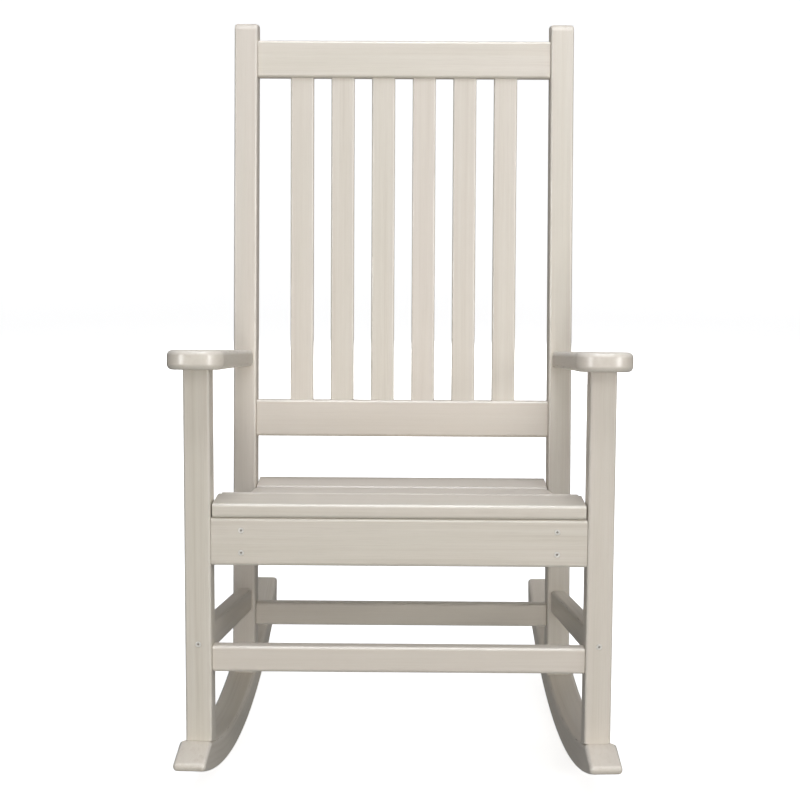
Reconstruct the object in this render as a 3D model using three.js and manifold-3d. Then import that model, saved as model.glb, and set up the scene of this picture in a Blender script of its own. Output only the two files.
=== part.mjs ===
// Tall porch rocking chair made of solid plastic lumber.
// Millimetres, +Z up, the sitter faces -Y, +X is to the right of someone looking at the front.
// The chair is drawn square to its front legs, then tipped back to the angle where it comes to rest.

import * as THREE from 'three';
import { mergeVertices } from 'three/addons/utils/BufferGeometryUtils.js';
import Module from 'manifold-3d';

const rad = THREE.MathUtils.degToRad;

// ---- Driving dimensions -------------------------------------------------------------------

const STOCK = 38.1; // square legs and posts
const BOARD = 25.4; // stretchers, rails, apron and arms
const SLAT = 20.5; // seat slats
const BACK_SLAT = 16;
const GAP = 0.3; // clearance between pieces that touch
const ALLOWANCE = 10; // boards are made this much over length, then sawn off

const REST_TILT = rad(3.2); // how far the whole chair leans back when it stands still

const LEG_HALF_SPAN = 286.3; // middle of the chair to the middle of a front leg
const FRAME_DEPTH = 456.2; // front leg to back post, centre to centre at the rocker
const TOE = rad(2.86); // each side frame runs inwards towards the back
const RECLINE = rad(3.445); // back posts, measured from the front legs
const SIDE_SLOPE = rad(5.5); // arms and side stretchers fall towards the back
const POST_FOOT_Z = -20.25;
const POST_TOP_Z = 1058.8;
const POST_DOME = 11; // rounding over the top of a post
const DOME_STEPS = 4;
const FOOT_MARGIN = 1.5; // the flat that a foot stands on reaches this far past the foot

const ROCKER = {
  radius: 1081.6,
  centreY: 262,
  centreZ: 1002.3,
  depth: 42,
  width: 47,
  noseY: -80,
  noseTopZ: -13.4,
  rearAngle: rad(27.65),
  rearRake: rad(1.6), // the underside stops this much short of the top
  facet: rad(2.2), // of the underside
  topFacet: rad(2.64),
};

const ARM = {
  thickness: 28,
  frontY: -60,
  frontZ: 544.4,
  length: 545,
  frontOuterX: 327,
  frontInnerX: 246,
  innerRearPull: [257, 330], // the two places that the inner edge's curve bends towards
  innerFrontPull: [248, 99],
  rearOuterX: 284,
  rearInnerX: 248.5,
  outerCorner: 33,
  innerCorner: 32,
  cornerSteps: 6,
  outerSteps: 7,
  innerSteps: 10,
};

const STRETCHER_HEIGHT = 38.1;
const FRONT_STRETCHER_Z = 121.6;
const REAR_STRETCHER_Z = 76.4;
const SIDE_STRETCHER_FRONT_Z = 144.5;

const APRON = { bottomZ: 259.6, topZ: 328.6, setback: 1 };

const SEAT = {
  topZ: 349.4,
  frontDepth: 88.9,
  frontHalfLength: 265.8,
  midDepth: 88.9,
  midStep: 97,
  midSlopes: [13, 10, 7.5, 4].map(rad),
  rearY: 458.5,
  rearZ: 293.3,
  rearDepth: 47,
  rearSlope: rad(12),
  sideClearance: 1.2,
};

const SEAT_RAIL = { x: 226, thickness: 31.75, frontBottomZ: 262, rearBottomZ: 214 };
const REAR_SEAT_RAIL = { frontY: 470, bottomZ: 214, topZ: 272, endScrewZ: 232, backScrewZ: 256 };

const BACK_RAIL_HEIGHT = 61;
const LOWER_RAIL_CENTRE = 427.7; // along the posts, from their feet
const TOP_RAIL_CENTRE = 1023;
const BACK_SLATS = { count: 6, width: 38.5, pitch: 67.4, tenon: 12 };

const SCREW = {
  headRadius: 4.2,
  headDepth: 2.4,
  rim: 0.4, // straight edge of the head, before the countersink
  shankRadius: 2.2,
  tipRadius: 0.88,
  point: 4,
  clearance: 0.3,
  mouth: 2, // a hole is cut this far out past the head
};
const SCREW_LENGTH = { apron: 50, seatRail: 55, end: 70, across: 75, rocker: 80 };
const SCREW_SIDES = { seen: 12, hidden: 8 };
const APRON_SCREW_X = 225;
const APRON_SCREWS_Z = { upper: 310.7, lower: 278.4 };
const LEG_SIDE_SCREW_Y = -4; // in front of the leg's middle
const ROCKER_SCREW = { recess: 4, outset: 2 }; // head below the underside; distance past the leg's middle

const ROUND = { stock: 4, rocker: 6, stretcher: 5, slat: 5, rail: 5, arm: 8, backSlat: 3.5 };
const ROUND_STEPS = 3;
const SIDES = { left: -1, right: 1 };

// ---- Materials ----------------------------------------------------------------------------

const lumber = () => new THREE.MeshStandardMaterial({ color: '#cfc8bb', roughness: 0.55, metalness: 0 });
const steel = () => new THREE.MeshStandardMaterial({ color: '#b5b2a8', roughness: 0.4, metalness: 0.8 });

// ---- Geometry helpers -----------------------------------------------------------------------

const X = new THREE.Vector3(1, 0, 0);
const Y = new THREE.Vector3(0, 1, 0);
const Z = new THREE.Vector3(0, 0, 1);

// A board cut to an outline and rounded over along every edge. The outline lies in the plane
// of the first two axes, and the thickness runs along the third.
function cutBoard(outline, thickness, round, axes) {
  const shape = new THREE.Shape(outline.map(([a, b]) => new THREE.Vector2(a, b)));
  const depth = thickness - 2 * round;
  const geometry = new THREE.ExtrudeGeometry(shape, {
    depth,
    bevelThickness: round,
    bevelSize: round,
    bevelOffset: -round,
    bevelSegments: ROUND_STEPS,
    curveSegments: 1,
  });
  geometry.translate(0, 0, -depth / 2);
  geometry.applyMatrix4(new THREE.Matrix4().makeBasis(...axes));
  return geometry;
}

const sideBoard = (outline, thickness, round) => cutBoard(outline, thickness, round, [Y, Z, X]);
const planBoard = (outline, thickness, round) => cutBoard(outline, thickness, round, [X, Y, Z]);
const frontBoard = (outline, thickness, round) =>
  cutBoard(outline, thickness, round, [X, Z, Y.clone().negate()]);

// Points of an arc about a centre, from one angle to another, both ends included.
function arc(centreX, centreY, radius, from, to, steps) {
  return Array.from({ length: steps + 1 }, (_, i) => {
    const angle = from + ((to - from) * i) / steps;
    return [centreX + radius * Math.cos(angle), centreY + radius * Math.sin(angle)];
  });
}

function addMesh(parent, name, geometry, material) {
  const mesh = new THREE.Mesh(geometry, material);
  mesh.name = name;
  parent.add(mesh);
  return mesh;
}

// ---- Cutting --------------------------------------------------------------------------------

const wasm = await Module();
wasm.setup();

// A geometry with its shared corners merged and its empty triangles dropped.
function weld(geometry) {
  const bare = new THREE.BufferGeometry();
  bare.setAttribute('position', geometry.getAttribute('position').clone());
  bare.setIndex(geometry.index);
  const merged = mergeVertices(bare, 1e-4);
  const corners = merged.index.array;
  const kept = [];
  for (let i = 0; i < corners.length; i += 3) {
    const [a, b, c] = corners.slice(i, i + 3);
    if (a !== b && b !== c && c !== a) kept.push(a, b, c);
  }
  merged.setIndex(kept);
  return merged;
}

function toSolid(geometry) {
  const welded = weld(geometry);
  const vertProperties = new Float32Array(welded.getAttribute('position').array);
  const triVerts = new Uint32Array(welded.index.array);
  return new wasm.Manifold(new wasm.Mesh({ numProp: 3, vertProperties, triVerts }));
}

function toGeometry(solid) {
  const { vertProperties, triVerts } = solid.getMesh();
  const geometry = new THREE.BufferGeometry();
  geometry.setAttribute('position', new THREE.BufferAttribute(vertProperties, 3));
  geometry.setIndex(new THREE.BufferAttribute(triVerts, 1));
  geometry.computeVertexNormals();
  return geometry;
}

// Takes the shape of each cutter, wherever it stands, out of a mesh.
function carve(mesh, cutters) {
  mesh.updateWorldMatrix(true, false);
  const toMesh = mesh.matrixWorld.clone().invert();
  let solid = toSolid(mesh.geometry);
  for (const cutter of cutters) {
    cutter.updateWorldMatrix(true, false);
    const shape = cutter.geometry.clone().applyMatrix4(toMesh.clone().multiply(cutter.matrixWorld));
    solid = solid.subtract(toSolid(shape));
  }
  mesh.geometry = toGeometry(solid);
}

// ---- Where the side frames are --------------------------------------------------------------

// Height of the rocker's top face under a leg or post, as a straight seat between two places.
const rockerTopRadius = ROCKER.radius - ROCKER.depth;
const rockerTopZ = (y) => ROCKER.centreZ - Math.sqrt(rockerTopRadius ** 2 - (y - ROCKER.centreY) ** 2);

function seatOnRocker(fromY, toY) {
  const slope = (rockerTopZ(toY) - rockerTopZ(fromY)) / (toY - fromY);
  return (y) => rockerTopZ(fromY) + slope * (y - fromY);
}

const FOOT = STOCK / 2 + FOOT_MARGIN;
const legSeat = seatOnRocker(-FOOT, FOOT);
const postSeat = seatOnRocker(FRAME_DEPTH - FOOT, FRAME_DEPTH + FOOT);

const postCentreY = (z) => FRAME_DEPTH + Math.tan(RECLINE) * (z - POST_FOOT_Z);
const postHalfDepth = STOCK / 2 / Math.cos(RECLINE);
const armUndersideZ = (y) => ARM.frontZ - Math.tan(SIDE_SLOPE) * (y - ARM.frontY);
const stretcherZ = (y) => SIDE_STRETCHER_FRONT_Z - Math.tan(SIDE_SLOPE) * y;

// ---- The tree of groups ---------------------------------------------------------------------

const chair = new THREE.Group();
const frame = new THREE.Group(); // square to the front legs, +Y towards the back
frame.rotation.x = -REST_TILT;
chair.add(frame);

function sideGroup(side) {
  const group = new THREE.Group();
  group.position.x = side * LEG_HALF_SPAN;
  group.rotation.z = side * TOE;
  frame.add(group);
  return group;
}

const back = new THREE.Group(); // +Z runs up the back posts
back.position.set(0, FRAME_DEPTH * Math.cos(TOE), POST_FOOT_Z);
back.rotation.x = -RECLINE;
frame.add(back);

const sideGroups = {
  left: sideGroup(SIDES.left),
  right: sideGroup(SIDES.right),
};

// ---- Saw cuts -------------------------------------------------------------------------------

const WASTE = 400; // size of the blocks that are cut away
const QUARTER_TURN = Math.PI / 2;

function wasteBlock(parent, width, depth, height) {
  const block = new THREE.Mesh(new THREE.BoxGeometry(width, depth, height));
  parent.add(block);
  return block;
}

// Everything in a side frame that lies beyond a plane across it. The plane goes through (y, z),
// and the angle gives the way it faces, from +Y towards +Z.
function beyond(group, y, z, angle) {
  const block = wasteBlock(group, WASTE, WASTE, WASTE);
  block.rotation.x = angle - QUARTER_TURN;
  block.position.set(0, y + (Math.cos(angle) * WASTE) / 2, z + (Math.sin(angle) * WASTE) / 2);
  return block;
}

// Saws a board to fit between the side frames.
function fitBetweenSides(mesh, clearance) {
  const blocks = Object.entries(sideGroups).map(([word, group]) => {
    const block = wasteBlock(group, WASTE, 3 * WASTE, 6 * WASTE);
    block.position.x = SIDES[word] * (WASTE / 2 - STOCK / 2 - clearance);
    return block;
  });
  carve(mesh, blocks);
}

// ---- Side frames ----------------------------------------------------------------------------

function rockerGeometry() {
  const { radius, centreY, centreZ, depth, width, noseY, noseTopZ } = ROCKER;
  const { rearAngle, rearRake, facet, topFacet } = ROCKER;
  const onArc = (r, angle) => [centreY + r * Math.sin(angle), centreZ - r * Math.cos(angle)];
  const noseAngle = Math.asin((noseY - centreY) / radius);
  const topAngle = (y) => Math.asin((y - centreY) / rockerTopRadius);

  // Underside: flat facets, one of them centred under the chair's weight at rest.
  const undersideEnd = rearAngle - rearRake;
  const underside = [onArc(radius, noseAngle)];
  const first = Math.ceil((noseAngle - REST_TILT) / facet - 0.5) + 0.5;
  for (let k = first; REST_TILT + k * facet < undersideEnd; k += 1) {
    const angle = REST_TILT + k * facet;
    const clearOfEnds = Math.min(angle - noseAngle, undersideEnd - angle) > facet / 4;
    if (clearOfEnds) underside.push(onArc(radius, angle));
  }
  underside.push(onArc(radius, undersideEnd));

  // Top: rear end, arc, flat under the post, arc, flat under the leg, then down to the nose.
  const stretch = (from, to) => {
    const steps = Math.max(1, Math.round(Math.abs(to - from) / topFacet));
    const angles = Array.from({ length: steps + 1 }, (_, i) => from + ((to - from) * i) / steps);
    return angles.map((angle) => onArc(rockerTopRadius, angle));
  };
  const top = [
    ...stretch(rearAngle, topAngle(FRAME_DEPTH + FOOT)),
    ...stretch(topAngle(FRAME_DEPTH - FOOT), topAngle(FOOT)),
    onArc(rockerTopRadius, topAngle(-FOOT)),
    [noseY, noseTopZ],
  ];
  return sideBoard([...underside, ...top], width, ROUND.rocker, depth);
}

// The cut that seats the foot of a leg or post on the rocker.
function rockerCut(group, seat, y) {
  return beyond(group, y, seat(y) + GAP, Math.atan2(-1, seat(y + 1) - seat(y)));
}

function addLeg(group, word) {
  const h = STOCK / 2;
  const outline = [
    [-h, legSeat(-h) - ALLOWANCE],
    [h, legSeat(h) - ALLOWANCE],
    [h, armUndersideZ(h) + ALLOWANCE],
    [-h, armUndersideZ(-h) + ALLOWANCE],
  ];
  const leg = addMesh(group, `front_leg_${word}`, sideBoard(outline, STOCK, ROUND.stock), lumber());
  const armCut = beyond(group, 0, armUndersideZ(0) - GAP, QUARTER_TURN - SIDE_SLOPE);
  carve(leg, [rockerCut(group, legSeat, 0), armCut]);
  return leg;
}

function addPost(group, word) {
  const front = (z) => postCentreY(z) - postHalfDepth;
  const rear = (z) => postCentreY(z) + postHalfDepth;
  const footZ = POST_FOOT_Z - 2 * ALLOWANCE;
  const dome = (y, from) => arc(y, POST_TOP_Z - POST_DOME, POST_DOME, from, from + QUARTER_TURN, DOME_STEPS);
  const outline = [
    [front(footZ), footZ],
    [rear(footZ), footZ],
    ...dome(rear(POST_TOP_Z) - POST_DOME, 0),
    ...dome(front(POST_TOP_Z) + POST_DOME, QUARTER_TURN),
  ];
  const post = addMesh(group, `back_post_${word}`, sideBoard(outline, STOCK, ROUND.stock), lumber());
  carve(post, [rockerCut(group, postSeat, FRAME_DEPTH)]);
  return post;
}

function addSideStretcher(group, word) {
  const h = STRETCHER_HEIGHT / 2 / Math.cos(SIDE_SLOPE);
  const frontY = STOCK / 2 + GAP;
  const rearZ = stretcherZ(FRAME_DEPTH - STOCK / 2);
  const rearY = postCentreY(rearZ) - postHalfDepth - GAP;
  const outline = [
    [frontY - ALLOWANCE, stretcherZ(frontY - ALLOWANCE) - h],
    [rearY + ALLOWANCE, stretcherZ(rearY + ALLOWANCE) - h],
    [rearY + ALLOWANCE, stretcherZ(rearY + ALLOWANCE) + h],
    [frontY - ALLOWANCE, stretcherZ(frontY - ALLOWANCE) + h],
  ];
  const geometry = sideBoard(outline, BOARD, ROUND.stretcher);
  const stretcher = addMesh(group, `side_stretcher_${word}`, geometry, lumber());
  carve(stretcher, [beyond(group, frontY, rearZ, Math.PI), beyond(group, rearY, rearZ, -RECLINE)]);
  return stretcher;
}

// ---- Cross boards ---------------------------------------------------------------------------

// Outline, from above, of a board across the chair. It reaches a little way into both side
// frames unless its half length is given.
function acrossOutline(frontY, rearY, half = LEG_HALF_SPAN - STOCK / 2 + ALLOWANCE) {
  return [
    [-half, frontY],
    [half, frontY],
    [half, rearY],
    [-half, rearY],
  ];
}

function crossBoard(name, frontY, thickness, centreZ, height, round) {
  const outline = acrossOutline(frontY, frontY + thickness);
  const mesh = addMesh(frame, name, planBoard(outline, height, round), lumber());
  mesh.position.z = centreZ;
  fitBetweenSides(mesh, GAP);
  return mesh;
}

// ---- Seat -----------------------------------------------------------------------------------

// Top edge lines of the seat slats, front to back: where each starts, its depth and its fall.
function seatSlats() {
  const slats = [
    {
      name: 'seat_slat_front',
      y: -STOCK / 2,
      z: SEAT.topZ,
      depth: SEAT.frontDepth,
      fall: 0,
      halfLength: SEAT.frontHalfLength,
    },
  ];
  let y = SEAT.frontDepth - STOCK / 2 + (SEAT.midStep - SEAT.midDepth);
  let z = SEAT.topZ;
  SEAT.midSlopes.forEach((fall, i) => {
    slats.push({ name: `seat_slat_mid_${i + 1}`, y, z, depth: SEAT.midDepth, fall });
    y += SEAT.midStep * Math.cos(fall);
    z -= SEAT.midStep * Math.sin(fall);
  });
  slats.push({
    name: 'seat_slat_rear',
    y: SEAT.rearY,
    z: SEAT.rearZ,
    depth: SEAT.rearDepth,
    fall: -SEAT.rearSlope,
  });
  return slats;
}

// The front slat is cut square; the others follow the side frames.
function addSeatSlat({ name, y, z, depth, fall, halfLength }) {
  const outline = acrossOutline(0, depth, halfLength);
  const geometry = planBoard(outline, SLAT, ROUND.slat).translate(0, 0, -SLAT / 2);
  const mesh = addMesh(frame, name, geometry, lumber());
  mesh.position.set(0, y, z);
  mesh.rotation.x = -fall;
  if (!halfLength) fitBetweenSides(mesh, SEAT.sideClearance);
}

// Side view of a seat rail: its top follows the undersides of the slats.
function seatRailOutline(frontY, rearY) {
  const top = [];
  for (const { y, z, depth, fall } of seatSlats()) {
    const under = (along) => [
      y + along * Math.cos(fall) - SLAT * Math.sin(fall),
      z - along * Math.sin(fall) - (SLAT + GAP) * Math.cos(fall),
    ];
    top.push(under(0), under(depth));
  }
  const inside = top.filter(([y]) => y > frontY && y < rearY);
  const rearTop = top.at(-2)[1] + (rearY - top.at(-2)[0]) * Math.tan(SEAT.rearSlope);
  return [
    [frontY, SEAT_RAIL.frontBottomZ],
    [rearY, SEAT_RAIL.rearBottomZ],
    [rearY, rearTop],
    ...inside.reverse(),
    [frontY, SEAT.topZ - SLAT - GAP],
  ];
}

// ---- Arms -----------------------------------------------------------------------------------

// Plan of the right arm, from its front edge: a rounded paddle that narrows towards the post.
function armOutline(side) {
  const a = ARM;
  const front = (x, radius, from, to) => arc(x, radius, radius, from, to, a.cornerSteps);
  const outer = new THREE.QuadraticBezierCurve(
    new THREE.Vector2(a.frontOuterX, a.outerCorner),
    new THREE.Vector2(a.frontOuterX, a.length / 2),
    new THREE.Vector2(a.rearOuterX, a.length),
  );
  const inner = new THREE.CubicBezierCurve(
    new THREE.Vector2(a.rearInnerX, a.length),
    new THREE.Vector2(...a.innerRearPull),
    new THREE.Vector2(...a.innerFrontPull),
    new THREE.Vector2(a.frontInnerX, a.innerCorner),
  );
  const points = [
    ...front(a.frontOuterX - a.outerCorner, a.outerCorner, -QUARTER_TURN, 0),
    ...outer.getPoints(a.outerSteps).slice(1).map((p) => [p.x, p.y]),
    ...inner.getPoints(a.innerSteps).slice(0, -1).map((p) => [p.x, p.y]),
    ...front(a.frontInnerX + a.innerCorner, a.innerCorner, Math.PI, 3 * QUARTER_TURN),
  ];
  return points.map(([x, y]) => [side * x, y]);
}

const armRearZ = armUndersideZ(FRAME_DEPTH);

function addArm(group, word, side) {
  const outline = side > 0 ? armOutline(side) : armOutline(side).reverse();
  const geometry = planBoard(outline, ARM.thickness, ROUND.arm).translate(0, 0, ARM.thickness / 2);
  const mesh = addMesh(frame, `arm_${word}`, geometry, lumber());
  mesh.position.set(0, ARM.frontY, ARM.frontZ);
  mesh.rotation.x = -SIDE_SLOPE;
  carve(mesh, [beyond(group, postCentreY(armRearZ) - postHalfDepth - GAP, armRearZ, -RECLINE)]);
  return mesh;
}

// ---- Back -----------------------------------------------------------------------------------

function addBackRail(name, centreZ) {
  const outline = acrossOutline(-BOARD / 2, BOARD / 2);
  const mesh = addMesh(back, name, planBoard(outline, BACK_RAIL_HEIGHT, ROUND.rail), lumber());
  mesh.position.z = centreZ;
  fitBetweenSides(mesh, GAP);
  return mesh;
}

const slatBottom = LOWER_RAIL_CENTRE + BACK_RAIL_HEIGHT / 2 - BACK_SLATS.tenon;
const slatTop = TOP_RAIL_CENTRE - BACK_RAIL_HEIGHT / 2 + BACK_SLATS.tenon;

function backSlatGeometry() {
  const w = BACK_SLATS.width / 2;
  const h = (slatTop - slatBottom) / 2;
  return frontBoard([[-w, -h], [w, -h], [w, h], [-w, h]], BACK_SLAT, ROUND.backSlat);
}

// The pocket that a back slat's ends stand in, as one long bar through both rails.
function slatPocket(slat) {
  const [w, t] = [BACK_SLATS.width + 2 * GAP, BACK_SLAT + 2 * GAP];
  const bar = wasteBlock(back, w, t, slatTop - slatBottom + 2 * GAP);
  bar.position.copy(slat.position);
  return bar;
}

// ---- Screws ---------------------------------------------------------------------------------

// Countersunk screw along -Z with its head at the origin. The clearance makes it a hole.
function screwGeometry(length, sides, clearance = 0) {
  const { headRadius, headDepth, rim, shankRadius, tipRadius, point, mouth } = SCREW;
  const top = clearance > 0 ? mouth : 0;
  const profile = [
    [0, -length - clearance],
    [tipRadius + clearance, -length - clearance],
    [shankRadius + clearance, -length + point],
    [shankRadius + clearance, -headDepth - clearance],
    [headRadius + clearance, -rim],
    [headRadius + clearance, top],
    [0, top],
  ].map(([r, z]) => new THREE.Vector2(r, z));
  return new THREE.LatheGeometry(profile, sides).rotateX(QUARTER_TURN);
}

const holes = new Map();

// Drives a screw into boards. It enters at a point of a group, and outwards is where its head faces.
function drive(name, parent, at, outwards, length, boards, sides = SCREW_SIDES.hidden) {
  const screw = addMesh(parent, name, weld(screwGeometry(length, sides)), steel());
  const hole = new THREE.Mesh(screwGeometry(length, sides, SCREW.clearance));
  parent.add(hole);
  for (const item of [screw, hole]) {
    item.position.set(...at);
    item.quaternion.setFromUnitVectors(Z, outwards.clone().normalize());
  }
  screw.geometry.computeVertexNormals();
  for (const board of boards) {
    if (!holes.has(board)) holes.set(board, []);
    holes.get(board).push(hole);
  }
}

// ---- Assembly -------------------------------------------------------------------------------

const apronFrontY = -STOCK / 2 + APRON.setback;
const apron = crossBoard(
  'front_apron',
  apronFrontY,
  BOARD,
  (APRON.topZ + APRON.bottomZ) / 2,
  APRON.topZ - APRON.bottomZ,
  ROUND.rail,
);
const frontStretcher = crossBoard(
  'front_stretcher',
  -BOARD / 2,
  BOARD,
  FRONT_STRETCHER_Z,
  STRETCHER_HEIGHT,
  ROUND.stretcher,
);
const rearStretcher = crossBoard(
  'rear_stretcher',
  postCentreY(REAR_STRETCHER_Z) - BOARD / 2,
  BOARD,
  REAR_STRETCHER_Z,
  STRETCHER_HEIGHT,
  ROUND.stretcher,
);
const rearSeatRail = crossBoard(
  'rear_seat_rail',
  REAR_SEAT_RAIL.frontY,
  BOARD,
  (REAR_SEAT_RAIL.topZ + REAR_SEAT_RAIL.bottomZ) / 2,
  REAR_SEAT_RAIL.topZ - REAR_SEAT_RAIL.bottomZ,
  ROUND.rail,
);

seatSlats().forEach(addSeatSlat);

const topRail = addBackRail('top_rail', TOP_RAIL_CENTRE);
const lowerRail = addBackRail('lower_back_rail', LOWER_RAIL_CENTRE);
const pockets = [];
for (let i = 0; i < BACK_SLATS.count; i += 1) {
  const slat = addMesh(back, `back_slat_${i + 1}`, backSlatGeometry(), lumber());
  const place = i - (BACK_SLATS.count - 1) / 2;
  slat.position.set(place * BACK_SLATS.pitch, 0, (slatTop + slatBottom) / 2);
  pockets.push(slatPocket(slat));
}
carve(topRail, pockets);
carve(lowerRail, pockets);

const forwards = Y.clone().negate();

function addSeatRail(word, side) {
  const outline = seatRailOutline(apronFrontY + BOARD + GAP, REAR_SEAT_RAIL.frontY - GAP);
  const geometry = sideBoard(outline, SEAT_RAIL.thickness, ROUND.rail);
  const mesh = addMesh(frame, `seat_side_rail_${word}`, geometry, lumber());
  mesh.position.x = side * SEAT_RAIL.x;
  return mesh;
}

function addSideFrame(word, side) {
  const group = sideGroups[word];
  const rocker = addMesh(group, `rocker_${word}`, rockerGeometry(), lumber());
  rocker.position.x = (side * (ROCKER.width - STOCK)) / 2; // flush with the legs on the inside
  const leg = addLeg(group, word);
  const post = addPost(group, word);
  const stretcher = addSideStretcher(group, word);
  const arm = addArm(group, word, side);
  const seatRail = addSeatRail(word, side);
  return { word, side, group, rocker, leg, post, stretcher, arm, seatRail };
}

// Screws that show from the front.
function driveFrontScrews({ word, side, group, leg, stretcher, seatRail }) {
  for (const [row, z] of Object.entries(APRON_SCREWS_Z)) {
    const at = [side * APRON_SCREW_X, apronFrontY, z];
    const name = `apron_screw_${word}_${row}`;
    drive(name, frame, at, forwards, SCREW_LENGTH.apron, [apron, seatRail], SCREW_SIDES.seen);
  }
  const at = [0, -STOCK / 2, stretcherZ(0)];
  const name = `leg_screw_${word}`;
  drive(name, group, at, forwards, SCREW_LENGTH.end, [leg, stretcher], SCREW_SIDES.seen);
}

// Screws from behind, into the side stretcher, the arm and the seat rail.
function driveRearScrews({ word, side, group, post, stretcher, arm, seatRail }) {
  const postBack = (z) => [0, postCentreY(z) + postHalfDepth, z];
  const stretcherAt = postBack(stretcherZ(FRAME_DEPTH));
  const armAt = postBack(armRearZ + ARM.thickness / 2);
  drive(`post_screw_${word}`, group, stretcherAt, Y, SCREW_LENGTH.end, [post, stretcher]);
  drive(`arm_rear_screw_${word}`, group, armAt, Y, SCREW_LENGTH.end, [post, arm]);
  const railAt = [side * SEAT_RAIL.x, REAR_SEAT_RAIL.frontY + BOARD, REAR_SEAT_RAIL.backScrewZ];
  drive(`seat_rail_screw_${word}`, frame, railAt, Y, SCREW_LENGTH.seatRail, [rearSeatRail, seatRail]);
}

// Where a screw starts under the rocker, and the way its head faces.
function underRocker(y) {
  const angle = Math.asin((y - ROCKER.centreY) / ROCKER.radius);
  const r = ROCKER.radius - ROCKER_SCREW.recess;
  const at = [0, ROCKER.centreY + r * Math.sin(angle), ROCKER.centreZ - r * Math.cos(angle)];
  return [at, new THREE.Vector3(0, Math.sin(angle), -Math.cos(angle))];
}

// Screws from above and below, into the ends of the leg and the post.
function driveUprightScrews({ word, group, rocker, leg, post, arm }) {
  const armTop = new THREE.Vector3(0, Math.sin(SIDE_SLOPE), Math.cos(SIDE_SLOPE));
  const legTop = armTop.clone().multiplyScalar(ARM.thickness);
  legTop.z += armUndersideZ(0);
  drive(`arm_front_screw_${word}`, group, legTop.toArray(), armTop, SCREW_LENGTH.end, [arm, leg]);
  const feet = [
    ['front', -ROCKER_SCREW.outset, leg],
    ['rear', FRAME_DEPTH + ROCKER_SCREW.outset, post],
  ];
  for (const [end, y, board] of feet) {
    const [at, down] = underRocker(y);
    drive(`rocker_${end}_screw_${word}`, group, at, down, SCREW_LENGTH.rocker, [rocker, board]);
  }
}

// Screws from the outer faces, into the ends of the cross boards.
function driveSideScrews({ word, side, group, leg, post }) {
  const outwards = X.clone().multiplyScalar(side);
  const across = (name, y, z, upright, board) => {
    const at = [side * (STOCK / 2), y, z];
    drive(`${name}_screw_${word}`, group, at, outwards, SCREW_LENGTH.across, [upright, board]);
  };
  across('front_stretcher', LEG_SIDE_SCREW_Y, FRONT_STRETCHER_Z, leg, frontStretcher);
  across('apron_end', LEG_SIDE_SCREW_Y, (APRON.topZ + APRON.bottomZ) / 2, leg, apron);
  across('rear_stretcher', postCentreY(REAR_STRETCHER_Z), REAR_STRETCHER_Z, post, rearStretcher);
  const seatRailY = REAR_SEAT_RAIL.frontY + BOARD / 2;
  across('rear_seat_rail', seatRailY, REAR_SEAT_RAIL.endScrewZ, post, rearSeatRail);
  const backRails = [
    ['lower_back_rail', LOWER_RAIL_CENTRE, lowerRail],
    ['top_rail', TOP_RAIL_CENTRE, topRail],
  ];
  for (const [name, along, board] of backRails) {
    const z = POST_FOOT_Z + along * Math.cos(RECLINE);
    across(name, postCentreY(z), z, post, board);
  }
}

for (const [word, side] of Object.entries(SIDES)) {
  const pieces = addSideFrame(word, side);
  driveFrontScrews(pieces);
  driveRearScrews(pieces);
  driveUprightScrews(pieces);
  driveSideScrews(pieces);
}

for (const [board, cutters] of holes) carve(board, cutters);

// Only named pieces stay: the cutting shapes go.
const cutters = [];
chair.traverse((item) => {
  if (item.isMesh && !item.name) cutters.push(item);
});
cutters.forEach((item) => item.removeFromParent());

// The origin is on the floor, under the middle of the chair's box.
chair.updateMatrixWorld(true);
const box = new THREE.Box3().setFromObject(chair, true);
const middle = box.getCenter(new THREE.Vector3());
frame.position.set(-middle.x, -middle.y, -box.min.z);

export default chair;
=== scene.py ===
"""Looks of the plastic-lumber rocking chair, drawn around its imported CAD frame.

Every CAD node is redrawn as a finer piece in the place that the frame gives it: straight boards as
lofts with rounded edges, arms and rockers as cut planks, and screws with a star-shaped recess. Only
the two rails under the seat's sides keep their CAD shape. Everything is in metres, and each mesh
holds its place in its own vertices.
"""

import math

import bmesh
import bpy
import numpy as np
from mathutils import Matrix, Vector


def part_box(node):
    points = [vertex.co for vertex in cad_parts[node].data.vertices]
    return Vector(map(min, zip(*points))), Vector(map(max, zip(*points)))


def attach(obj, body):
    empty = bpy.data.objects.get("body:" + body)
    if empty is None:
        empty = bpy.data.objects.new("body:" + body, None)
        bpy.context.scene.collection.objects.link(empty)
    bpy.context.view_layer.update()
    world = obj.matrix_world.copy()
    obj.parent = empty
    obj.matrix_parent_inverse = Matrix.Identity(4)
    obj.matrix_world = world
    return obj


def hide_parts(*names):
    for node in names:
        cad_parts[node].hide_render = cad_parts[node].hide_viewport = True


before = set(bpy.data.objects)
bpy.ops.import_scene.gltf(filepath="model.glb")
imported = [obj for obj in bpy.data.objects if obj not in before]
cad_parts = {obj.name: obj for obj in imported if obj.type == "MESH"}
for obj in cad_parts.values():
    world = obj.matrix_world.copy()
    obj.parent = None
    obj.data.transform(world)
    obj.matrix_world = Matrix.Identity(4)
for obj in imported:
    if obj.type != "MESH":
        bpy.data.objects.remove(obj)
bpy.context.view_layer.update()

# ---- Dimensions that the CAD shapes share ------------------------------------------------------

SIDES = {"left": -1, "right": 1}

REST_TILT = math.radians(3.2)  # the whole chair leans back at rest
TOE = math.radians(2.86)  # each side frame runs inwards towards the back
SIDE_SLOPE = math.radians(5.5)  # arms fall towards the back
LEG_HALF_SPAN = 0.2863
LEG_STOCK = 0.0381
FRAME_DEPTH = 0.4562  # from the front legs' middle to the back posts' middle, at the rockers

# In the chair's own frame, x runs sideways from the chair's middle, y runs back from the middle of
# the front legs, and z runs up along the legs from close to their foot.

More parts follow.
